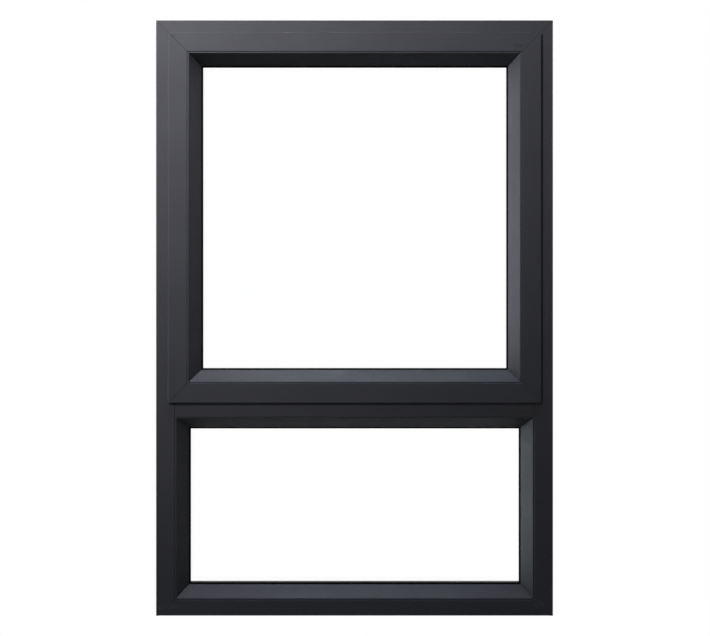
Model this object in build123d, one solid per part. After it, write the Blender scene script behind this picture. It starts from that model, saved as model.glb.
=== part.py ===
from build123d import *
import os
from collections import namedtuple

# Top-hung window in aluminium extrusions: an outward-opening sash over a fixed light.
# X runs along the width, +Z is up and the outdoor side faces -Y, in millimetres.
# The origin is on the underside of the sill, in the middle of its width and depth.
# Every section is drawn in u and v: u runs inwards from a member's outer edge and v
# from its outdoor face towards the room.

# Outer frame: one extrusion for the head and jambs, and a slimmer one for the sill
frame_width = 600.0
frame_height = 900.0
frame_depth = 60.0
frame_face = 28.0
sill_face = 23.5
wall = 1.6
web_place = 31.0
outer_radius = 1.0
edge_radius = 0.5

# Grooves along the outside of the frame that take fixing lugs
lug_place_front = 8.0
lug_place_back = 46.0
lug_mouth = 6.0
lug_lip = 1.2
lug_room = 1.6
lug_undercut = 1.5

# Transom, butted between the jambs
transom_top = 332.0
transom_face = 31.0
butt_gap = 0.5

# Sash, one extrusion on all four sides, lapping over the frame
sash_proud = 4.0
sash_face = 29.0
sash_lap = 9.5
stay_cavity = 11.0
flange_wall = 1.4
sash_back_gap = 2.5
sash_stop_gap = 2.0
sash_stop_depth = 9.0
mitre_gap = 0.2

# Glazing, the same in the sash and in the fixed light
pane = 4.0
pane_space = 12.0
glass_edge_gap = 6.0
gasket = 3.0
gasket_lip = 2.6
inner_gasket_lip = 1.0
gasket_heel = 3.2
spacer_height = 7.0
spacer_edge = 2.5

# Stop on the room side, lower than the bead so that it hides behind it
stop_height = 14.5

# Splayed glazing bead, clipped in from outdoors
bead_width = 18.5
bead_depth = 22.0
bead_wall = 1.3
bead_gap = 0.2
bead_recess = 1.0
nose_width = 2.2
nose_radius = 0.8
bead_heel = 1.2

# Groove in the rebate floor that takes the bead's hooked foot
slot_place = 11.0
slot_width = 3.0
pocket_depth = 3.6
pocket_side = 0.9
pocket_hook_room = 2.4
pocket_wall = 1.2
foot_wall = 1.6
foot_gap = 0.4
hook_reach = 1.6

# Undercut slots that hold the feet of the gaskets and seals
rubber_mouth = 2.6
rubber_lip = 0.9
rubber_room = 1.8
rubber_undercut = 1.1
rubber_wall = 0.9
rubber_gap = 0.15
stop_slot_place = 10.4
bead_slot_place = 8.6

# Smaller slot in the sash's flange, and the lip of both weather seals
flange_slot_place = 5.0
flange_slot_mouth = 1.8
flange_slot_lip = 0.5
flange_slot_room = 0.9
flange_slot_undercut = 0.7
flange_slot_wall = 0.6
seal_lip = 1.3

# Setting blocks under the glass
block_length = 60.0
block_from_corner = 50.0
block_margin = 1.0

# Friction stays, folded flat in the cavity at each side of the sash
stay_length = 330.0
stay_width = 18.0
stay_plate = 2.0
stay_play = 0.3
stay_from_top = 24.0
stay_place = 14.0
stay_flange = 1.4
stay_flange_height = 1.2
sash_rail_length = 230.0
long_arm_length = 270.0
short_arm_length = 120.0
arm_width = 13.0
arm_corner = 3.5
rivet_radius = 2.6
rivet_from_end = 8.0

# Cockspur handle on the bottom rail, room side
handle_base_length = 66.0
handle_base_height = 15.0
handle_base_corner = 5.0
handle_edge = 1.5
boss_radius = 8.5
lever_length = 112.0
lever_tip_radius = 5.0
lever_thickness = 8.0
lever_play = 0.3
cap_radius = 5.5
cap_height = 1.0
nose_reach = 24.0
nose_breadth = 14.0
strike_length = 46.0
strike_height = 13.0
strike_thickness = 2.0
strike_corner = 2.0
strike_drop = 1.5
strike_play = 0.3

# Screw holes through the jambs into the wall
fixing_radius = 3.0
fixing_spacing = 600.0
fixing_depth = 39.0

# Places that follow from the sizes above
face_y = -frame_depth / 2
room_y = frame_depth / 2
glass_front = bead_depth + gasket
glass_back = glass_front + 2 * pane + pane_space
stop_front = glass_back + gasket
sash_back = sash_proud + stop_front - sash_back_gap
sash_tube = sash_face - sash_lap - stay_cavity
sash_tube_start = sash_face - sash_tube
sash_stop_start = sash_lap + stop_height + sash_stop_gap
sash_stop_back = stop_front + sash_stop_depth
sill_start = frame_face - sill_face

SIDES = ("top", "bottom", "left", "right")
Ring = namedtuple("Ring", "left right bottom top face")
Slot = namedtuple("Slot", "mouth lip room undercut wall")

glazing_slot = Slot(rubber_mouth, rubber_lip, rubber_room, rubber_undercut, rubber_wall)
flange_slot = Slot(
    flange_slot_mouth, flange_slot_lip, flange_slot_room, flange_slot_undercut, flange_slot_wall
)
flange_slot_front = flange_wall + flange_slot.lip + flange_slot.room


def inset(ring, distance, depth=0.0):
    """The rectangle that lies inside another by one distance on every side."""
    return Ring(
        ring.left + distance,
        ring.right - distance,
        ring.bottom + distance,
        ring.top - distance,
        ring.face + depth,
    )


# The mitres meet on this rectangle. The sill is slimmer than the jambs, so its lower side
# lies under the sill, and the jambs' feet are cut square beside it.
frame_ring = Ring(-frame_width / 2, frame_width / 2, -sill_start, frame_height, face_y)
daylight = inset(frame_ring, frame_face)
upper_opening = daylight._replace(bottom=transom_top)
lower_opening = daylight._replace(top=transom_top - transom_face)
sash_ring = inset(upper_opening, -sash_lap, -sash_proud)
sash_opening = inset(sash_ring, sash_face)


# Pieces of a section

def block(u0, v0, u1, v1):
    """A solid rectangle between two opposite corners."""
    return Pos((u0 + u1) / 2, (v0 + v1) / 2) * Rectangle(abs(u1 - u0), abs(v1 - v0))


def chamber(u0, v0, u1, v1, thickness=wall):
    """A rectangular tube between two opposite corners."""
    inside = block(u0 + thickness, v0 + thickness, u1 - thickness, v1 - thickness)
    return block(u0, v0, u1, v1) - inside


def outline(*points):
    """A closed straight-sided area."""
    return make_face(Polyline(*points, close=True))


def rounded(section, radius, *places):
    """Round the section's corners that lie at the given places."""
    for u, v in places:
        corner = section.vertices().sort_by_distance((u, v, 0))[0]
        section = fillet(corner, radius)
    return section


def lug_groove(start, place):
    """The walls and the room of an undercut groove in the frame's outer side."""
    low, high = place - lug_undercut, place + lug_mouth + lug_undercut
    lip = start + lug_lip
    bottom = lip + lug_room
    walls = block(start, low - wall, bottom + wall, high + wall)
    room = block(lip, low, bottom, high) + block(start, place, lip, place + lug_mouth)
    return walls, room


def bead_groove(floor, inwards=-1):
    """The walls and the room of the hook groove under a rebate floor."""
    low = slot_place - pocket_side
    high = slot_place + slot_width + pocket_hook_room
    ceiling = floor + inwards * wall
    bottom = ceiling + inwards * pocket_depth
    walls = block(floor, low - pocket_wall, bottom + inwards * pocket_wall, high + pocket_wall)
    room = block(ceiling, low, bottom, high)
    room += block(floor, slot_place, ceiling, slot_place + slot_width)
    return walls, room


def rubber_slot(slot, u, v, inwards):
    """The walls and the room of the undercut slot that opens at v and holds a rubber foot."""
    half = slot.mouth / 2 + slot.undercut
    side = half + slot.wall
    lip = v + inwards * slot.lip
    bottom = lip + inwards * slot.room
    walls = block(u - side, v, u + side, bottom + inwards * slot.wall)
    room = block(u - half, lip, u + half, bottom)
    room += block(u - slot.mouth / 2, v, u + slot.mouth / 2, lip)
    return walls, room


def rubber_foot(slot, u, v, inwards):
    """The foot of a gasket or seal, a neck and a head that fill their slot with a small gap."""
    neck = slot.mouth / 2 - rubber_gap
    head = neck + slot.undercut
    start = v + inwards * (slot.lip + rubber_gap)
    end = v + inwards * (slot.lip + slot.room - rubber_gap)
    return block(u - neck, v, u + neck, start) + block(u - head, start, u + head, end)


# Sections of the extrusions

def frame_section(start=0.0):
    """A tube with a web, lug grooves on its outer side, and a hollow stop on the room side.

    The sill's section starts further in than the head's and the jambs'.
    """
    stop_end = frame_face + stop_height
    section = chamber(start, 0, frame_face, frame_depth)
    section += block(start, web_place, frame_face, web_place + wall)
    section += chamber(frame_face - wall, stop_front, stop_end, frame_depth)
    grooves = [
        lug_groove(start, lug_place_front),
        lug_groove(start, lug_place_back),
        bead_groove(frame_face),
        rubber_slot(glazing_slot, frame_face + stop_slot_place, stop_front, 1),
    ]
    for walls, room in grooves:
        section = section + walls - room
    section = rounded(section, outer_radius, (start, 0), (start, frame_depth))
    inner = [(frame_face, 0), (stop_end, frame_depth), (stop_end, stop_front)]
    return rounded(section, edge_radius, *inner)


def transom_section():
    """A tube with a web, and a hollow stop above and below it; u runs up from its lower face edge."""
    stop_low, stop_high = -stop_height, transom_face + stop_height
    section = chamber(0, 0, transom_face, frame_depth)
    section += block(0, web_place, transom_face, web_place + wall)
    section += chamber(transom_face - wall, stop_front, stop_high, frame_depth)
    section += chamber(stop_low, stop_front, wall, frame_depth)
    grooves = [
        bead_groove(transom_face),
        bead_groove(0, inwards=1),
        rubber_slot(glazing_slot, transom_face + stop_slot_place, stop_front, 1),
        rubber_slot(glazing_slot, -stop_slot_place, stop_front, 1),
    ]
    for walls, room in grooves:
        section = section + walls - room
    corners = [(0, 0), (transom_face, 0)]
    corners += [(u, v) for u in (stop_low, stop_high) for v in (stop_front, frame_depth)]
    return rounded(section, edge_radius, *corners)


def sash_section():
    """Rails and stiles: a flange that laps the frame, a slim tube and a hollow stop for the glass."""
    stop_end = sash_face + stop_height
    section = block(0, 0, sash_face, flange_wall)
    section += chamber(sash_tube_start, 0, sash_face, sash_back)
    section += block(sash_face - wall, stop_front, stop_end, sash_back)
    section += chamber(sash_stop_start, stop_front, stop_end, sash_stop_back)
    grooves = [
        bead_groove(sash_face),
        rubber_slot(glazing_slot, sash_face + stop_slot_place, stop_front, 1),
        rubber_slot(flange_slot, flange_slot_place, flange_slot_front, -1),
    ]
    for walls, room in grooves:
        section = section + walls - room
    front = [(0, 0), (sash_face, 0)]
    back = [(stop_end, stop_front), (stop_end, sash_stop_back), (sash_stop_start, sash_stop_back)]
    return rounded(section, edge_radius, *front, *back)


def bead_section():
    """A hollow splayed bead with a hooked foot; u is 0 at the edge of the member's face."""
    nose_end = bead_gap + nose_width
    body = outline(
        (bead_gap, bead_recess),
        (nose_end, bead_recess),
        (bead_width, bead_depth - bead_heel),
        (bead_width, bead_depth),
        (bead_gap, bead_depth),
    )
    hollow = offset(body, amount=-bead_wall, kind=Kind.INTERSECTION)
    slot_walls, slot_room = rubber_slot(glazing_slot, bead_slot_place, bead_depth, -1)
    foot_low = slot_place + foot_gap
    foot_top = -wall - foot_gap / 2
    foot_end = foot_top - foot_wall
    foot = block(foot_end, foot_low, bead_gap, foot_low + foot_wall)
    foot += block(foot_end, foot_low, foot_top, slot_place + slot_width + hook_reach)
    section = body - hollow + slot_walls - slot_room + foot
    return rounded(section, nose_radius, (nose_end, bead_recess))


# Sections of the rubbers

def outer_gasket_section():
    """Between the bead and the glass, with a lip that shows past the bead's edge."""
    start = bead_slot_place - gasket_heel
    lip = bead_width + gasket_lip
    body = outline(
        (start, bead_depth),
        (bead_width, bead_depth),
        (lip, glass_front - gasket / 2),
        (lip, glass_front),
        (start, glass_front),
    )
    return body + rubber_foot(glazing_slot, bead_slot_place, bead_depth, -1)


def inner_gasket_section():
    """Between the glass and the stop on the room side."""
    start = stop_slot_place - gasket_heel
    lip = stop_height + inner_gasket_lip
    body = outline(
        (start, stop_front),
        (stop_height, stop_front),
        (lip, glass_back + gasket / 2),
        (lip, glass_back),
        (start, glass_back),
    )
    return body + rubber_foot(glazing_slot, stop_slot_place, stop_front, 1)


def seal_section(slot, u, v, contact, inwards):
    """A weather seal: a foot in its slot at v and a lip that sweeps inwards to the contact face."""
    low, high = u - seal_lip / 2, u + seal_lip / 2
    sweep = abs(contact - v)
    lip = outline((low, v), (high, v), (high + sweep, contact), (low + sweep, contact))
    return lip + rubber_foot(slot, u, v, inwards)


# Bars and rings from a section

def side_plane(ring, side):
    """The section plane half way along one side of a ring, and that side's length."""
    middle_x = (ring.left + ring.right) / 2
    middle_z = (ring.bottom + ring.top) / 2
    origin, inwards, length = {
        "bottom": ((middle_x, ring.face, ring.bottom), (0, 0, 1), ring.right - ring.left),
        "top": ((middle_x, ring.face, ring.top), (0, 0, -1), ring.right - ring.left),
        "left": ((ring.left, ring.face, middle_z), (1, 0, 0), ring.top - ring.bottom),
        "right": ((ring.right, ring.face, middle_z), (-1, 0, 0), ring.top - ring.bottom),
    }[side]
    along = Vector(*inwards).cross(Vector(0, 1, 0))
    return Plane(origin=origin, x_dir=inwards, z_dir=along), length


def mitred_bar(section, ring, side, gap=mitre_gap):
    """One side of a rectangular frame, its ends cut at 45 degrees from the ring's corners.

    What lies outside the ring, such as a bead's foot, is cut square at the corners.
    """
    plane, length = side_plane(ring, side)
    box = section.bounding_box()
    half = length / 2 - gap / 2**0.5
    reach = box.max.X
    keep = outline((0, -half), (reach, reach - half), (reach, half - reach), (0, half))
    if box.min.X < 0:
        keep += block(box.min.X, -half, 0, half)
    bar = extrude(section, amount=length / 2, both=True)
    bar &= extrude(Plane.XZ * keep, amount=2 * frame_depth, both=True)
    return plane.location * bar


def closed_ring(section, ring):
    """A rubber or metal strip that runs round all four sides without a break."""
    bars = [mitred_bar(section, ring, side, gap=0.0) for side in ("bottom", "right", "top", "left")]
    return (bars[0] + bars[1] + bars[2] + bars[3]).clean()


def members(section, ring, names):
    """Bars of one section, mitred at the corners, from a table of side and name."""
    return {name: mitred_bar(section, ring, side) for side, name in names.items()}


# Frame and transom

def jamb(side):
    """One upright of the frame, its foot cut square beside the slimmer sill, drilled for screws."""
    x = getattr(frame_ring, side)
    bar = mitred_bar(frame_section(), frame_ring, side)
    bar -= Pos(x, 0, -frame_face / 2) * Box(4 * frame_face, 2 * frame_depth, frame_face)
    for end in (-1, 1):
        place = Pos(x, face_y + fixing_depth, frame_height / 2 + end * fixing_spacing / 2)
        bar -= place * Rot(0, 90, 0) * Cylinder(fixing_radius, 2 * frame_face + wall)
    return bar


def outer_frame():
    """Head, sill and jambs, crimped at mitred corners."""
    return {
        **members(frame_section(), frame_ring, {"top": "frame_head"}),
        **members(frame_section(sill_start), frame_ring, {"bottom": "frame_sill"}),
        "frame_jamb_left": jamb("left"),
        "frame_jamb_right": jamb("right"),
    }


def transom():
    """The bar between the two lights, butted to the jambs and notched round their stops."""
    half = frame_width / 2 - frame_face - butt_gap
    plane = Plane(origin=(0, face_y, transom_top - transom_face), x_dir=(0, 0, 1), z_dir=(-1, 0, 0))
    bar = extrude(transom_section(), amount=half, both=True)
    notch_depth = frame_depth - stop_front + butt_gap
    notch = Box(transom_face + 4 * stop_height, 2 * notch_depth, 2 * stop_height)
    for end in (-1, 1):
        bar -= Pos(transom_face / 2, frame_depth, end * half) * notch
    return plane.location * bar


# Sash

def sash():
    """Rails and stiles of the opening light, crimped at mitred corners."""
    names = {
        "top": "sash_top_rail",
        "bottom": "sash_bottom_rail",
        "left": "sash_stile_left",
        "right": "sash_stile_right",
    }
    return members(sash_section(), sash_ring, names)


def weather_seals():
    """The outer seal behind the sash's flange and the inner seal on the frame's stops."""
    outer = seal_section(flange_slot, flange_slot_place, flange_slot_front, sash_proud, -1)
    inner = seal_section(glazing_slot, stop_slot_place, stop_front, stop_front - sash_back_gap, 1)
    return {
        "sash_outer_seal": closed_ring(outer, sash_ring),
        "sash_inner_seal": closed_ring(inner, upper_opening),
    }


# Glass and beads

def slab(ring, v0, v1):
    """A flat sheet that fills a ring between two depths."""
    size = (ring.right - ring.left, v1 - v0, ring.top - ring.bottom)
    centre = ((ring.left + ring.right) / 2, ring.face + (v0 + v1) / 2, (ring.bottom + ring.top) / 2)
    return Pos(*centre) * Box(*size)


def setting_blocks(opening):
    """Two blocks that carry the glass on the rebate floor."""
    half_width = (opening.right - opening.left) / 2
    depth = glass_back - glass_front - 2 * block_margin
    middle_y = opening.face + (glass_front + glass_back) / 2
    middle_z = opening.bottom + glass_edge_gap / 2
    offset_x = half_width - block_from_corner - block_length / 2
    block_solid = Box(block_length, depth, glass_edge_gap)
    pair = [Pos(end * offset_x, middle_y, middle_z) * block_solid for end in (-1, 1)]
    return Compound(children=pair)


def glazing(prefix, opening):
    """Two panes, their spacer, gaskets, setting blocks and beads in one opening."""
    edge = inset(opening, glass_edge_gap)
    spacer_low = glass_edge_gap + spacer_edge
    spacer = block(spacer_low, glass_front + pane, spacer_low + spacer_height, glass_back - pane)
    return {
        f"{prefix}_outer_pane": slab(edge, glass_front, glass_front + pane),
        f"{prefix}_inner_pane": slab(edge, glass_back - pane, glass_back),
        f"{prefix}_spacer_bar": closed_ring(spacer, opening),
        f"{prefix}_outer_gasket": closed_ring(outer_gasket_section(), opening),
        f"{prefix}_inner_gasket": closed_ring(inner_gasket_section(), opening),
        f"{prefix}_setting_blocks": setting_blocks(opening),
        **members(bead_section(), opening, {side: f"{prefix}_bead_{side}" for side in SIDES}),
    }


# Hardware

def friction_stay(side):
    """Folded stay: a channel track on the jamb, two arms and a rail on the stile, on rivets."""
    jamb_x = frame_width / 2 - frame_face
    step = (stay_cavity - 2 * stay_play - stay_plate) / 3
    top_z = upper_opening.top - stay_from_top
    middle_y = face_y + stay_place + stay_width / 2

    def plate(layer, length):
        """A strap with clipped corners in one layer, hung from the stay's upper end."""
        x = jamb_x - stay_play - layer * step
        plane = Plane(origin=(x, middle_y, top_z - length / 2), x_dir=(0, 0, 1), z_dir=(-1, 0, 0))
        strap = chamfer(Rectangle(length, arm_width).vertices(), arm_corner)
        return plane.location * extrude(strap, amount=stay_plate)

    track_centre = (jamb_x - stay_play - stay_plate / 2, middle_y, top_z - stay_length / 2)
    stay = Pos(*track_centre) * Box(stay_plate, stay_width, stay_length)
    for edge in (-1, 1):
        x = jamb_x - stay_play - stay_plate - stay_flange_height / 2
        y = middle_y + edge * (stay_width - stay_flange) / 2
        stay += Pos(x, y, track_centre[2]) * Box(stay_flange_height, stay_flange, stay_length)
    stay += plate(1, long_arm_length) + plate(2, short_arm_length) + plate(3, sash_rail_length)
    rivet = Rot(0, 90, 0) * Cylinder(rivet_radius, stay_cavity - 2 * stay_play)
    for length in (2 * rivet_from_end, short_arm_length, sash_rail_length):
        drop = length - rivet_from_end
        stay += Pos(jamb_x - stay_cavity / 2, middle_y, top_z - drop) * rivet
    return stay if side > 0 else mirror(stay, Plane.YZ)


def handle():
    """A base on the bottom rail, a lever with its nose, and a strike plate on the transom."""
    rail_y = sash_ring.face + sash_stop_back
    strike_y = room_y + strike_thickness
    base_depth = strike_y + strike_play - lever_play - rail_y
    rail_low = sash_ring.bottom + sash_stop_start
    rail_high = sash_ring.bottom + sash_face + stop_height
    pivot_z = (rail_low + rail_high) / 2
    base_plane = Plane(origin=(0, rail_y, pivot_z), x_dir=(-1, 0, 0), z_dir=(0, 1, 0))
    plan = RectangleRounded(handle_base_length, handle_base_height, handle_base_corner)
    base = extrude(plan, amount=base_depth)
    base = chamfer(base.faces().sort_by(Axis.Z)[-1].edges(), handle_edge)
    tip = Pos(lever_length - lever_tip_radius, 0) * Circle(lever_tip_radius)
    arm = make_hull([*Circle(boss_radius).edges(), *tip.edges()])
    nose = Pos(0, -nose_reach / 2) * RectangleRounded(nose_breadth, nose_reach, handle_edge)
    lever = extrude(arm + nose, amount=lever_thickness)
    lever = fillet(lever.faces().sort_by(Axis.Z)[-1].edges(), handle_edge)
    lever += Pos(0, 0, lever_thickness + cap_height / 2) * Cylinder(cap_radius, cap_height)
    lever_plane = base_plane.offset(base_depth + lever_play)
    strike_z = transom_top + stop_height - strike_drop - strike_height / 2
    strike_plane = Plane(origin=(0, room_y, strike_z), x_dir=(-1, 0, 0), z_dir=(0, 1, 0))
    plan = RectangleRounded(strike_length, strike_height, strike_corner)
    strike = extrude(plan, amount=strike_thickness)
    return {
        "handle_base": base_plane.location * base,
        "handle_lever": lever_plane.location * lever,
        "handle_strike": strike_plane.location * strike,
    }


frame = outer_frame()
nodes = {
    **frame,
    "transom": transom(),
    **sash(),
    **weather_seals(),
    **glazing("sash", sash_opening),
    **glazing("fixed", lower_opening),
    "stay_left": friction_stay(-1),
    "stay_right": friction_stay(1),
    **handle(),
}

# Two rubbers cross from the transom's slots to the jambs' slots, and their feet are notched there
for rubber in ("fixed_inner_gasket", "sash_inner_seal"):
    nodes[rubber] = nodes[rubber] - frame["frame_jamb_left"] - frame["frame_jamb_right"]

os.makedirs("parts", exist_ok=True)
for name, piece in nodes.items():
    export_step(piece, f"parts/{name}.step")
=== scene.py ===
import math

import bpy
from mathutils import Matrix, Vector


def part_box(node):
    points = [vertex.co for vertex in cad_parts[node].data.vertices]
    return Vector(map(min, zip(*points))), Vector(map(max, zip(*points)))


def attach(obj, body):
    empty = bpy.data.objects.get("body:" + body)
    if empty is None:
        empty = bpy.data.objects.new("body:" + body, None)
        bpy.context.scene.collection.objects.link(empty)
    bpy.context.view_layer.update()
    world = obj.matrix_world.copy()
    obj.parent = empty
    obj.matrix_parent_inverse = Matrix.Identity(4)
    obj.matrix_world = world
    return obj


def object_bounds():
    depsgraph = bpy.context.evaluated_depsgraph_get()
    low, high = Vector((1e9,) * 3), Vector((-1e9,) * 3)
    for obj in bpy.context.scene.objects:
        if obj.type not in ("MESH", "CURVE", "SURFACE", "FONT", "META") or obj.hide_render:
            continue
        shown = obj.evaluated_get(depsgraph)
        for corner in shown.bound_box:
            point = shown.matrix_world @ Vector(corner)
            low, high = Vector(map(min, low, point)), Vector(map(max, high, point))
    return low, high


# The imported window: every bar, bead, pane and rubber is a node of its own, in metres.
# The outdoor side faces -Y, Z is up, and the sill's underside is at Z 0.
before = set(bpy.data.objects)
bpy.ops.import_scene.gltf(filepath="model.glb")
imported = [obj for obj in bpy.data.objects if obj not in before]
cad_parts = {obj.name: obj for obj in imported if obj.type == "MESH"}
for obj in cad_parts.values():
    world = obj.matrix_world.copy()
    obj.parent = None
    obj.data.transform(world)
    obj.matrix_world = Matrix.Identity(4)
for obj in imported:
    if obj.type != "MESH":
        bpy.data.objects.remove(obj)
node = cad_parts
cad_low, cad_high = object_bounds()


# Outer frame and transom
# Hollow aluminium extrusions, mitred and crimped at the corners, with the transom butted
# between the jambs, in baked anthracite powder: satin, a trace uneven, with a few rubs and
# painted highlights.

anthracite = (0.040, 0.041, 0.049, 1.0)
joint_dark = (0.006, 0.006, 0.006, 1.0)
# The pale tone serves both the rubs and the painted edge highlights.
rub_and_highlight_pale = (0.110, 0.118, 0.135, 1.0)
powder_cloud_size = 0.09
powder_cloud_dark = 0.94
powder_cloud_light = 1.06
dust_size = 0.0035
dust_share = 0.12
dust_shade = 1.35
peel_size = 0.0022
peel_depth = 0.00002
gloss_patch_size = 0.02
powder_roughness_low = 0.40
powder_roughness_high = 0.50
powder_gloss = 0.1
joint_half_width = 0.0004
joint_softness = 0.6
mark_core = 0.1
mark_grain = 0.8
mark_raggedness = 0.35
# The next two break up the painted edge highlights along their length.
highlight_break = 0.03
highlight_least = 0.5


def own_place(mat):
    """The point's place on its own piece, in metres, as one socket."""
    return mat.node_tree.nodes.new("ShaderNodeTexCoord").outputs["Object"]


def axes(mat, place):
    """The X, Y and Z of a place, as three sockets."""
    split = mat.node_tree.nodes.new("ShaderNodeSeparateXYZ")
    mat.node_tree.links.new(place, split.inputs[0])
    return split.outputs["X"], split.outputs["Y"], split.outputs["Z"]


def math_node(mat, operation, *values):
    """One arithmetic step; each value is a socket or a number."""
    step = mat.node_tree.nodes.new("ShaderNodeMath")
    step.operation = operation
    for socket, value in zip(step.inputs, values):
        if isinstance(value, (int, float)):
            socket.default_value = value
        else:
            mat.node_tree.links.new(value, socket)
    return step.outputs[0]


def fade(mat, value, near, far):
    """1 at or under near and 0 at or over far, with a soft step between."""
    ramp = mat.node_tree.nodes.new("ShaderNodeMapRange")
    ramp.interpolation_type = "SMOOTHSTEP"
    ramp.inputs["From Min"].default_value = near
    ramp.inputs["From Max"].default_value = far
    ramp.inputs["To Min"].default_value = 1.0
    ramp.inputs["To Max"].default_value = 0.0
    mat.node_tree.links.new(value, ramp.inputs["Value"])
    return ramp.outputs["Result"]


def noise(mat, place, size, detail=2.0, low=0.0, high=1.0, stretch=None):
    """Cloudy noise from low to high, its features of a size in metres and drawn out by axis."""
    nodes = mat.node_tree.nodes
    links = mat.node_tree.links
    if stretch:
        drawn = nodes.new("ShaderNodeMapping")
        drawn.inputs["Scale"].default_value = tuple(1.0 / s for s in stretch)
        links.new(place, drawn.inputs["Vector"])
        place = drawn.outputs["Vector"]
    cloud = nodes.new("ShaderNodeTexNoise")
    cloud.inputs["Scale"].default_value = 1.0 / size
    cloud.inputs["Detail"].default_value = detail
    links.new(place, cloud.inputs["Vector"])
    spread = nodes.new("ShaderNodeMapRange")
    spread.inputs["From Min"].default_value = 0.3
    spread.inputs["From Max"].default_value = 0.7
    spread.inputs["To Min"].default_value = low
    spread.inputs["To Max"].default_value = high
    links.new(cloud.outputs["Fac"], spread.inputs["Value"])
    return spread.outputs["Result"]


def blend_colour(mat, amount, first, second):
    """Mix two colours, each a socket or a fixed colour."""
    mix = mat.node_tree.nodes.new("ShaderNodeMix")
    mix.data_type = "RGBA"
    mat.node_tree.links.new(amount, mix.inputs["Factor"])
    for name, value in (("A", first), ("B", second)):
        socket = next(s for s in mix.inputs if s.name == name and s.type == "RGBA")
        if isinstance(value, tuple):
            socket.default_value = value
        else:
            mat.node_tree.links.new(value, socket)
    return next(s for s in mix.outputs if s.type == "RGBA")


def bump(mat, shader, relief, depth):
    """Raise the surface by a relief of 0 to 1, its depth in metres."""
    raised = mat.node_tree.nodes.new("ShaderNodeBump")
    raised.inputs["Distance"].default_value = 1.0
    mat.node_tree.links.new(math_node(mat, "MULTIPLY", relief, depth), raised.inputs["Height"])
    mat.node_tree.links.new(raised.outputs["Normal"], shader.inputs["Normal"])


def new_material(name):
    """A node material and its Principled shader."""
    mat = bpy.data.materials.new(name)
    mat.use_nodes = True
    return mat, mat.node_tree.nodes["Principled BSDF"]


def shade(colour, factor):
    """The same colour, lighter or darker."""
    return tuple(c * factor for c in colour[:3]) + (1.0,)


def mitre_lines(mat, paint, x, z, ring, strengths):
    """Dark hairlines on the mitres of a ring of bars, each corner with its own strength."""
    middle_x, middle_z, half_width, half_height = ring
    from_middle = math_node(mat, "SUBTRACT", x, middle_x)
    from_centre = math_node(mat, "SUBTRACT", z, middle_z)
    from_side = math_node(mat, "SUBTRACT", half_width, math_node(mat, "ABSOLUTE", from_middle))
    from_end = math_node(mat, "SUBTRACT", half_height, math_node(mat, "ABSOLUTE", from_centre))
    apart = math_node(mat, "ABSOLUTE", math_node(mat, "SUBTRACT", from_side, from_end))
    core = joint_half_width * (1 - joint_softness)
    reach = joint_half_width * (1 + joint_softness)
    line = fade(mat, apart, core, reach)
    left = math_node(mat, "LESS_THAN", from_middle, 0.0)
    low = math_node(mat, "LESS_THAN", from_centre, 0.0)
    right = math_node(mat, "SUBTRACT", 1.0, left)
    high = math_node(mat, "SUBTRACT", 1.0, low)
    weight = 0.0
    corners = ((left, high), (right, high), (left, low), (right, low))
    for (across, upwards), strength in zip(corners, strengths):
        corner = math_node(mat, "MULTIPLY", math_node(mat, "MULTIPLY", across, upwards), strength)
        weight = math_node(mat, "ADD", weight, corner)
    return blend_colour(mat, math_node(mat, "MULTIPLY", line, weight), paint, joint_dark)


def mark(mat, paint, place, x, z, centre, reach, colour, strength):
    """A small ragged mark in the paint, its centre and reach in metres across and up."""
    across = math_node(mat, "DIVIDE", math_node(mat, "SUBTRACT", x, centre[0]), reach[0])
    upwards = math_node(mat, "DIVIDE", math_node(mat, "SUBTRACT", z, centre[1]), reach[1])
    across_squared = math_node(mat, "POWER", across, 2.0)
    spread = math_node(mat, "ADD", across_squared, math_node(mat, "POWER", upwards, 2.0))
    grain = min(reach) * mark_grain
    ragged = noise(mat, place, grain, detail=3.0, low=-mark_raggedness, high=mark_raggedness)
    amount = fade(mat, math_node(mat, "ADD", spread, ragged), mark_core, 1.0)
    return blend_colour(mat, math_node(mat, "MULTIPLY", amount, strength), paint, colour)


def painted_edge_highlight(mat, paint, place, across, edge, reach, strength):
    """A thin pale line along an edge, broken up by noise: a painted highlight where the edge catches
    the light.
    """
    apart = math_node(mat, "ABSOLUTE", math_node(mat, "SUBTRACT", across, edge))
    broken = noise(mat, place, highlight_break, detail=3.0, low=highlight_least)
    line = math_node(mat, "MULTIPLY", fade(mat, apart, 0.0, reach), broken)
    return blend_colour(mat, math_node(mat, "MULTIPLY", line, strength), paint, rub_and_highlight_pale)


def powder_coat(name, ring=None, strengths=(), marks=(), edge_highlights=()):
    """Baked satin powder with painted edge highlights; strengths are the ring's mitres from top
    left, row by row.
    """
    mat, shader = new_material(name)
    place = own_place(mat)
    x, _, z = axes(mat, place)
    cloud = noise(mat, place, powder_cloud_size, detail=4.0)
    dark_coat = shade(anthracite, powder_cloud_dark)
    light_coat = shade(anthracite, powder_cloud_light)
    paint = blend_colour(mat, cloud, dark_coat, light_coat)
    dust = noise(mat, place, dust_size, detail=3.0, high=dust_share)
    paint = blend_colour(mat, dust, paint, shade(anthracite, dust_shade))
    for centre, reach, colour, strength in marks:
        paint = mark(mat, paint, place, x, z, centre, reach, colour, strength)
    # Painted highlights: pale lines along the edges given.
    for axis, edge, reach, strength in edge_highlights:
        across = x if axis == "x" else z
        paint = painted_edge_highlight(mat, paint, place, across, edge, reach, strength)
    if ring:
        paint = mitre_lines(mat, paint, x, z, ring, strengths)
    mat.node_tree.links.new(paint, shader.inputs["Base Color"])
    bump(mat, shader, noise(mat, place, peel_size, detail=1.0), peel_depth)
    rough = noise(
        mat,
        place,
        gloss_patch_size,
        detail=3.0,
        low=powder_roughness_low,
        high=powder_roughness_high,
    )
    mat.node_tree.links.new(rough, shader.inputs["Roughness"])
    shader.inputs["Specular IOR Level"].default_value = powder_gloss
    return mat


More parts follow.
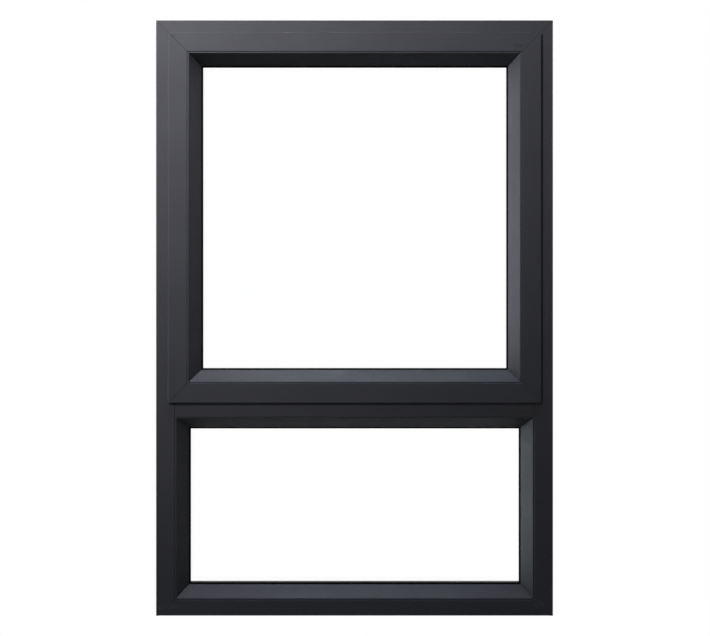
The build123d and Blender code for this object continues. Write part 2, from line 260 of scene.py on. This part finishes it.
def finish_with(mat, *names):
    """Give CAD nodes this material alone."""
    for name in names:
        piece = node[name]
        piece.data.materials.clear()
        piece.data.materials.append(mat)


# A ring is its middle across and up, half its width and half its height. The sill is slimmer
# than the jambs, so the lower mitres run towards corners below its underside.
sill_toe = cad_high.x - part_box("frame_sill")[1].x
frame_half_height = (cad_high.z + sill_toe) / 2
frame_ring = (0.0, cad_high.z - frame_half_height, cad_high.x, frame_half_height)
frame_mitres = (0.2, 0.4, 0.15, 0.15)

# A mark is its centre and its reach across and up, its colour and its strength. The pale
# marks at the bottom left are rubs, the one at the bottom right is a painted highlight on the
# mitre, and the last is a thin pale streak down the right jamb. A painted edge highlight is
# the axis across it, its place on that axis, its reach and its strength.
frame_marks = (
    ((-0.276, 0.0145), (0.018, 0.005), rub_and_highlight_pale, 0.16),
    ((-0.292, 0.011), (0.008, 0.004), rub_and_highlight_pale, 0.10),
    ((0.279, 0.0175), (0.009, 0.007), rub_and_highlight_pale, 0.14),
    ((0.2905, 0.45), (0.002, 0.06), rub_and_highlight_pale, 0.06),
)
# Pale lines painted along the frame's outer left and right edges: painted highlights.
frame_edge_inset = 0.0015
frame_edge_highlights = (
    ("x", cad_high.x - frame_edge_inset, 0.0012, 0.06),
    ("x", cad_low.x + frame_edge_inset, 0.0012, 0.04),
)
frame_paint = powder_coat("frame_powder_coat", frame_ring, frame_mitres, frame_marks, frame_edge_highlights)
finish_with(frame_paint, "frame_head", "frame_sill", "frame_jamb_left", "frame_jamb_right")

# The fixed light's beads reach up to the transom's lower edge, which carries a painted highlight
# above them.
transom_edge_inset = 0.00094
transom_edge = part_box("fixed_bead_left")[1].z + transom_edge_inset
transom_paint = powder_coat("transom_powder_coat", edge_highlights=(("z", transom_edge, 0.0013, 0.30),))
finish_with(transom_paint, "transom")


# Sash
# Four slimmer extrusions of the same powder-coated aluminium, mitred and crimped. Their
# flange laps over the frame's face, and they carry the opening light's glass.

scuff_dark = (0.016, 0.015, 0.015, 1.0)
sash_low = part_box("sash_stile_left")[0]
sash_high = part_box("sash_stile_right")[1]
sash_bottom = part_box("sash_bottom_rail")[0].z
sash_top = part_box("sash_top_rail")[1].z
sash_ring = (
    (sash_low.x + sash_high.x) / 2,
    (sash_bottom + sash_top) / 2,
    (sash_high.x - sash_low.x) / 2,
    (sash_top - sash_bottom) / 2,
)
sash_mitres = (0.7, 0.35, 0.95, 0.2)
sash_marks = (
    ((0.2475, 0.8610), (0.011, 0.0038), scuff_dark, 0.30),
    ((-0.2835, 0.8835), (0.002, 0.002), scuff_dark, 0.8),
    ((-0.2735, 0.8755), (0.0017, 0.0017), scuff_dark, 0.8),
)
# Pale lines painted along the sash's outer left, right and bottom edges: painted highlights.
sash_edge_inset = 0.0008
sash_edge_highlights = (
    ("x", sash_low.x + sash_edge_inset, 0.0016, 0.20),
    ("x", sash_high.x - sash_edge_inset, 0.0014, 0.08),
    ("z", sash_bottom + sash_edge_inset, 0.0014, 0.10),
)
sash_paint = powder_coat("sash_powder_coat", sash_ring, sash_mitres, sash_marks, sash_edge_highlights)
finish_with(sash_paint, "sash_top_rail", "sash_bottom_rail", "sash_stile_left", "sash_stile_right")


# Glazing beads
# Splayed hollow beads in the same coat, clipped into the frame and the sash from outdoors
# and mitred at their corners.

bead_mitres = (0.25, 0.15, 0.15, 0.1)
for light in ("sash", "fixed"):
    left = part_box(f"{light}_bead_left")[0].x
    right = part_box(f"{light}_bead_right")[1].x
    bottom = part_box(f"{light}_bead_bottom")[0].z
    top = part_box(f"{light}_bead_top")[1].z
    bead_ring = ((left + right) / 2, (bottom + top) / 2, (right - left) / 2, (top - bottom) / 2)
    bead_paint = powder_coat(f"{light}_bead_powder_coat", bead_ring, bead_mitres)
    finish_with(bead_paint, *[f"{light}_bead_{side}" for side in ("top", "bottom", "left", "right")])


# Glass
# Two clear float panes in each sealed unit, a spacer bar apart, bedded between rubbers. The
# lamps reach through them.

white = (1.0, 1.0, 1.0, 1.0)
glass_film = (0.996, 1.0, 0.998, 1.0)
glass_film_size = 0.12
glass_haze = 0.006
glass_haze_size = 0.03
glass_index = 1.25
glass_pass = (0.95, 0.97, 0.96, 1.0)


def clear_glass(name):
    """Clear float glass that lets lamps through, a trace uneven from washing."""
    mat, shader = new_material(name)
    nodes = mat.node_tree.nodes
    links = mat.node_tree.links
    place = own_place(mat)
    film = noise(mat, place, glass_film_size, detail=3.0)
    links.new(blend_colour(mat, film, white, glass_film), shader.inputs["Base Color"])
    links.new(noise(mat, place, glass_haze_size, high=glass_haze), shader.inputs["Roughness"])
    shader.inputs["Transmission Weight"].default_value = 1.0
    shader.inputs["IOR"].default_value = glass_index
    open_to_lamps = nodes.new("ShaderNodeBsdfTransparent")
    open_to_lamps.inputs["Color"].default_value = glass_pass
    rays = nodes.new("ShaderNodeLightPath").outputs
    passing = math_node(mat, "MAXIMUM", rays["Is Shadow Ray"], rays["Is Diffuse Ray"])
    mix = nodes.new("ShaderNodeMixShader")
    links.new(passing, mix.inputs["Fac"])
    links.new(shader.outputs["BSDF"], mix.inputs[1])
    links.new(open_to_lamps.outputs["BSDF"], mix.inputs[2])
    links.new(mix.outputs["Shader"], nodes["Material Output"].inputs["Surface"])
    return mat


glass = clear_glass("clear_glass")
finish_with(glass, "sash_outer_pane", "sash_inner_pane", "fixed_outer_pane", "fixed_inner_pane")


# Spacer bars
# Black warm-edge bars that hold the panes apart, with a row of fine holes for the drying
# beads inside them.

spacer_black = (0.014, 0.014, 0.015, 1.0)
spacer_dark = 0.8
spacer_light = 1.3
spacer_grain_size = 0.003
# The holes are painted, not cut: near-black dots, painted shade for their depth.
painted_hole_shade = (0.001, 0.001, 0.001, 1.0)
hole_pitch = 0.004
hole_radius = 0.0006
hole_softness = 0.2


def perforated_spacer(name, light):
    """Matt black with a row of holes along the middle of the bars round one light, painted as
    near-black dots: painted shade for their depth.
    """
    mat, shader = new_material(name)
    place = own_place(mat)
    x, y, z = axes(mat, place)
    low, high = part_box(f"{light}_spacer_bar")
    middle = (low + high) / 2
    from_side = math_node(mat, "SUBTRACT", high.x, math_node(mat, "ABSOLUTE", x))
    from_centre = math_node(mat, "ABSOLUTE", math_node(mat, "SUBTRACT", z, middle.z))
    from_end = math_node(mat, "SUBTRACT", high.z - middle.z, from_centre)
    on_side = math_node(mat, "LESS_THAN", from_side, from_end)
    along_side = math_node(mat, "MULTIPLY", z, on_side)
    along_end = math_node(mat, "MULTIPLY", x, math_node(mat, "SUBTRACT", 1.0, on_side))
    run = math_node(mat, "ADD", along_side, along_end)
    along = math_node(mat, "PINGPONG", run, hole_pitch / 2)
    across = math_node(mat, "SUBTRACT", y, middle.y)
    along_squared = math_node(mat, "POWER", along, 2.0)
    squared = math_node(mat, "ADD", along_squared, math_node(mat, "POWER", across, 2.0))
    core = hole_radius * (1 - hole_softness)
    rim = hole_radius * (1 + hole_softness)
    hole = fade(mat, math_node(mat, "SQRT", squared), core, rim)
    grain = noise(mat, place, spacer_grain_size, detail=4.0)
    dark_bar = shade(spacer_black, spacer_dark)
    light_bar = shade(spacer_black, spacer_light)
    bar_colour = blend_colour(mat, grain, dark_bar, light_bar)
    holed = blend_colour(mat, hole, bar_colour, painted_hole_shade)
    mat.node_tree.links.new(holed, shader.inputs["Base Color"])
    shader.inputs["Roughness"].default_value = 0.6
    shader.inputs["Specular IOR Level"].default_value = 0.25
    return mat


for light in ("sash", "fixed"):
    finish_with(perforated_spacer(f"{light}_spacer_black", light), f"{light}_spacer_bar")


# Gaskets and weather seals
# Extruded black rubber: flat wedges between bead, glass and stop, and soft lips between
# the sash and the frame. It has a faint bloom and draw lines, and stays almost black.

rubber_black = (0.0012, 0.0012, 0.0012, 1.0)
rubber_bloom = (0.0035, 0.0035, 0.0036, 1.0)
rubber_bloom_size = 0.012
rubber_draw_size = 0.0006
rubber_grain_size = 0.0005
rubber_grain_depth = 0.00001


def black_rubber(name):
    """Extruded rubber with a faint bloom, uneven in gloss and finely grained."""
    mat, shader = new_material(name)
    place = own_place(mat)
    bloom = noise(mat, place, rubber_bloom_size, detail=5.0)
    colour = blend_colour(mat, bloom, rubber_black, rubber_bloom)
    mat.node_tree.links.new(colour, shader.inputs["Base Color"])
    rough = noise(mat, place, rubber_draw_size, low=0.6, high=0.8)
    mat.node_tree.links.new(rough, shader.inputs["Roughness"])
    bump(mat, shader, noise(mat, place, rubber_grain_size), rubber_grain_depth)
    shader.inputs["Specular IOR Level"].default_value = 0.02
    return mat


finish_with(
    black_rubber("black_rubber"),
    "sash_outer_gasket",
    "sash_inner_gasket",
    "fixed_outer_gasket",
    "fixed_inner_gasket",
    "sash_outer_seal",
    "sash_inner_seal",
)


# Setting blocks
# Black moulded plastic packers under the glass units, with the mould's fine grain.

block_dark = (0.024, 0.024, 0.025, 1.0)
block_light = (0.034, 0.034, 0.035, 1.0)
block_mottle_size = 0.005
block_grain_size = 0.0008
block_grain_depth = 0.00003


def moulded_plastic(name):
    """Mottled black plastic with a fine mould grain."""
    mat, shader = new_material(name)
    place = own_place(mat)
    mottle = noise(mat, place, block_mottle_size, detail=3.0)
    colour = blend_colour(mat, mottle, block_dark, block_light)
    mat.node_tree.links.new(colour, shader.inputs["Base Color"])
    bump(mat, shader, noise(mat, place, block_grain_size), block_grain_depth)
    shader.inputs["Roughness"].default_value = 0.5
    return mat


finish_with(moulded_plastic("setting_block_plastic"), "sash_setting_blocks", "fixed_setting_blocks")


# Friction stays
# Pressed stainless steel strip, brushed along its length, on both sides of the sash.

steel_dark = (0.50, 0.50, 0.50, 1.0)
steel_light = (0.62, 0.62, 0.63, 1.0)
brush_size = 0.0006
brush_depth = 0.000006
brush_length = 60.0


def brushed_steel(name, stretch):
    """Stainless steel, its brushing drawn out by axis."""
    mat, shader = new_material(name)
    place = own_place(mat)
    lines = noise(mat, place, brush_size, detail=3.0, stretch=stretch)
    colour = blend_colour(mat, lines, steel_dark, steel_light)
    mat.node_tree.links.new(colour, shader.inputs["Base Color"])
    rough = noise(mat, place, brush_size, detail=3.0, low=0.24, high=0.42, stretch=stretch)
    mat.node_tree.links.new(rough, shader.inputs["Roughness"])
    bump(mat, shader, lines, brush_depth)
    shader.inputs["Metallic"].default_value = 1.0
    return mat


stay_steel = brushed_steel("stay_steel_brushed", (1.0, 1.0, brush_length))
finish_with(stay_steel, "stay_left", "stay_right")


# Handle
# A die-cast cockspur in the bars' own powder coat, on a base with a raised cross-head screw.
# The base's second screw sits under the lever while the window is shut.

finish_with(powder_coat("handle_powder_coat"), "handle_base", "handle_lever")
screw_radius = 0.0032
screw_height = 0.0011
screw_bevel = 0.0008
recess_length = 0.0034
recess_width = 0.0008
recess_depth = 0.0009
base_screw_x = 0.024


def cross_head_screw(name, centre):
    """A raised screw head that looks towards the room, its underside at the centre given."""
    bpy.ops.object.select_all(action="DESELECT")
    bpy.ops.mesh.primitive_cylinder_add(
        vertices=32,
        radius=screw_radius,
        depth=screw_height,
        location=(0.0, 0.0, screw_height / 2),
    )
    screw = bpy.context.active_object
    screw.name = name
    bpy.ops.object.transform_apply(location=True)
    bpy.ops.object.mode_set(mode="EDIT")
    bpy.ops.mesh.select_mode(type="FACE")
    bpy.ops.mesh.select_all(action="DESELECT")
    bpy.ops.object.mode_set(mode="OBJECT")
    for face in screw.data.polygons:
        face.select = face.normal.z > 0.9
    bpy.ops.object.mode_set(mode="EDIT")
    bpy.ops.mesh.bevel(offset=screw_bevel, segments=4, affect="EDGES")
    bpy.ops.object.mode_set(mode="OBJECT")
    for across, upwards in ((recess_length, recess_width), (recess_width, recess_length)):
        bpy.ops.object.select_all(action="DESELECT")
        bpy.ops.mesh.primitive_cube_add(size=1.0, location=(0.0, 0.0, screw_height))
        recess = bpy.context.active_object
        recess.dimensions = (across, upwards, recess_depth * 2)
        bpy.ops.object.transform_apply(location=True, scale=True)
        cut = screw.modifiers.new("recess", "BOOLEAN")
        cut.operation = "DIFFERENCE"
        cut.solver = "EXACT"
        cut.object = recess
        bpy.context.view_layer.objects.active = screw
        bpy.ops.object.modifier_apply(modifier=cut.name)
        bpy.data.objects.remove(recess)
    bpy.ops.object.select_all(action="DESELECT")
    screw.select_set(True)
    bpy.context.view_layer.objects.active = screw
    bpy.ops.object.shade_smooth_by_angle(angle=math.radians(30))
    screw.rotation_euler = (math.radians(-90), 0.0, 0.0)
    screw.location = centre
    bpy.ops.object.transform_apply(location=True, rotation=True)
    return screw


screw_steel = brushed_steel("screw_steel", (1.0, 1.0, 1.0))
base_low, base_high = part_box("handle_base")
base_middle_z = (base_low.z + base_high.z) / 2
base_screw = cross_head_screw("handle_base_screw", (base_screw_x, base_high.y, base_middle_z))
base_screw.data.materials.append(screw_steel)
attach(base_screw, "root")


# Strike
# A stainless plate on the transom that the lever's nose draws against, held by two screws
# like the handle's.

finish_with(brushed_steel("strike_steel_brushed", (brush_length, 1.0, 1.0)), "handle_strike")
strike_low, strike_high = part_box("handle_strike")
strike_middle_z = (strike_low.z + strike_high.z) / 2
strike_screw_x = 0.0155
for side, direction in (("left", -1), ("right", 1)):
    seat = (direction * strike_screw_x, strike_high.y, strike_middle_z)
    strike_screw = cross_head_screw(f"strike_screw_{side}", seat)
    strike_screw.data.materials.append(screw_steel)
    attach(strike_screw, "root")


# Studio
# The view is the photograph's: straight on, a little right of the window's middle and above
# it. Four soft boxes, which the camera doesn't see, stand round a pale floor and backdrop.

photo_width = 710
photo_height = 636
foot_column = 377
foot_row = 262
window_column = 354.5
window_row = 318
metres_per_pixel = 0.0015112
camera_distance = 1.87
sensor_width = 36.0

face_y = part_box("frame_head")[0].y
camera_x = (foot_column - window_column) * metres_per_pixel
camera_z = cad_high.z / 2 + (window_row - foot_row) * metres_per_pixel
camera_data = bpy.data.cameras.new("camera")
camera_data.sensor_width = sensor_width
camera_data.lens = sensor_width * camera_distance / (photo_width * metres_per_pixel)
camera_data.shift_x = (photo_width / 2 - foot_column) / photo_width
camera_data.shift_y = (foot_row - photo_height / 2) / photo_width
camera = bpy.data.objects.new("camera", camera_data)
camera.location = (camera_x, face_y - camera_distance, camera_z)
camera.rotation_euler = (math.radians(90), 0, 0)
bpy.context.scene.collection.objects.link(camera)
bpy.context.scene.camera = camera


def soft_box(name, place, aim, width, height, power, colour, spread=180):
    """A flat lamp that looks at a point; a grid narrows its spread, in degrees."""
    data = bpy.data.lights.new(name, "AREA")
    data.shape = "RECTANGLE"
    data.size = width
    data.size_y = height
    data.energy = power
    data.color = colour
    data.spread = math.radians(spread)
    lamp = bpy.data.objects.new(name, data)
    lamp.location = place
    lamp.rotation_euler = (Vector(aim) - Vector(place)).to_track_quat("-Z", "Y").to_euler()
    lamp.visible_camera = False
    bpy.context.scene.collection.objects.link(lamp)


# The main light comes from the upper left and fades towards the lower right.
soft_box(
    "key",
    place=(-1.12, -1.50, 2.19),
    aim=(-0.715, 0.048, 1.576),
    width=0.4,
    height=0.4,
    power=43.0,
    colour=(1.0, 0.975, 0.95),
    spread=69,
)

# A tall box a little behind the window shines through the glass on to the right splays.
soft_box(
    "left_rim",
    place=(-2.00, 0.38, 0.35),
    aim=(0.25, 0.0, 0.35),
    width=0.4,
    height=1.5,
    power=55.0,
    colour=(0.90, 0.93, 1.0),
)

# A weak one skims down the front on to the splays that face up.
soft_box(
    "top_skim",
    place=(-0.15, -0.34, 2.40),
    aim=(0.0, 0.0, 0.10),
    width=0.4,
    height=0.4,
    power=3.4,
    colour=(0.82, 0.88, 1.0),
    spread=60,
)

# The room side has a light of its own, for the views from there.
soft_box(
    "room_side",
    place=(1.30, 2.20, 1.40),
    aim=(0.0, 0.0, 0.45),
    width=1.0,
    height=1.0,
    power=50.0,
    colour=(1.0, 1.0, 1.0),
)


def white_rays(mat):
    """1 for rays from the camera, off gloss or through glass, which see the background white."""
    rays = mat.node_tree.nodes.new("ShaderNodeLightPath").outputs
    direct = math_node(mat, "MAXIMUM", rays["Is Camera Ray"], rays["Is Glossy Ray"])
    return math_node(mat, "MAXIMUM", direct, rays["Is Transmission Ray"])


floor_drop = 0.6
floor_size = 3.6
floor_grey = (0.2, 0.2, 0.2, 1.0)
floor_glow = 0.85
bpy.ops.object.select_all(action="DESELECT")
bpy.ops.mesh.primitive_plane_add(size=floor_size, location=(0.0, 0.0, -floor_drop))
floor = bpy.context.active_object
floor.name = "floor"
floor_mat, floor_shader = new_material("pale_floor")
floor_shader.inputs["Base Color"].default_value = floor_grey
floor_shader.inputs["Roughness"].default_value = 0.9
floor_shader.inputs["Emission Color"].default_value = white
glow = math_node(floor_mat, "MULTIPLY", white_rays(floor_mat), floor_glow)
floor_mat.node_tree.links.new(glow, floor_shader.inputs["Emission Strength"])
floor.data.materials.append(floor_mat)

room_light = (0.03, 0.032, 0.026, 1.0)
world = bpy.data.worlds.new("studio")
world.use_nodes = True
backdrop = world.node_tree.nodes["Background"]
backdrop_colour = blend_colour(world, white_rays(world), room_light, white)
world.node_tree.links.new(backdrop_colour, backdrop.inputs["Color"])
backdrop.inputs["Strength"].default_value = 1.0
bpy.context.scene.world = world

bpy.context.scene.view_settings.view_transform = "Standard"
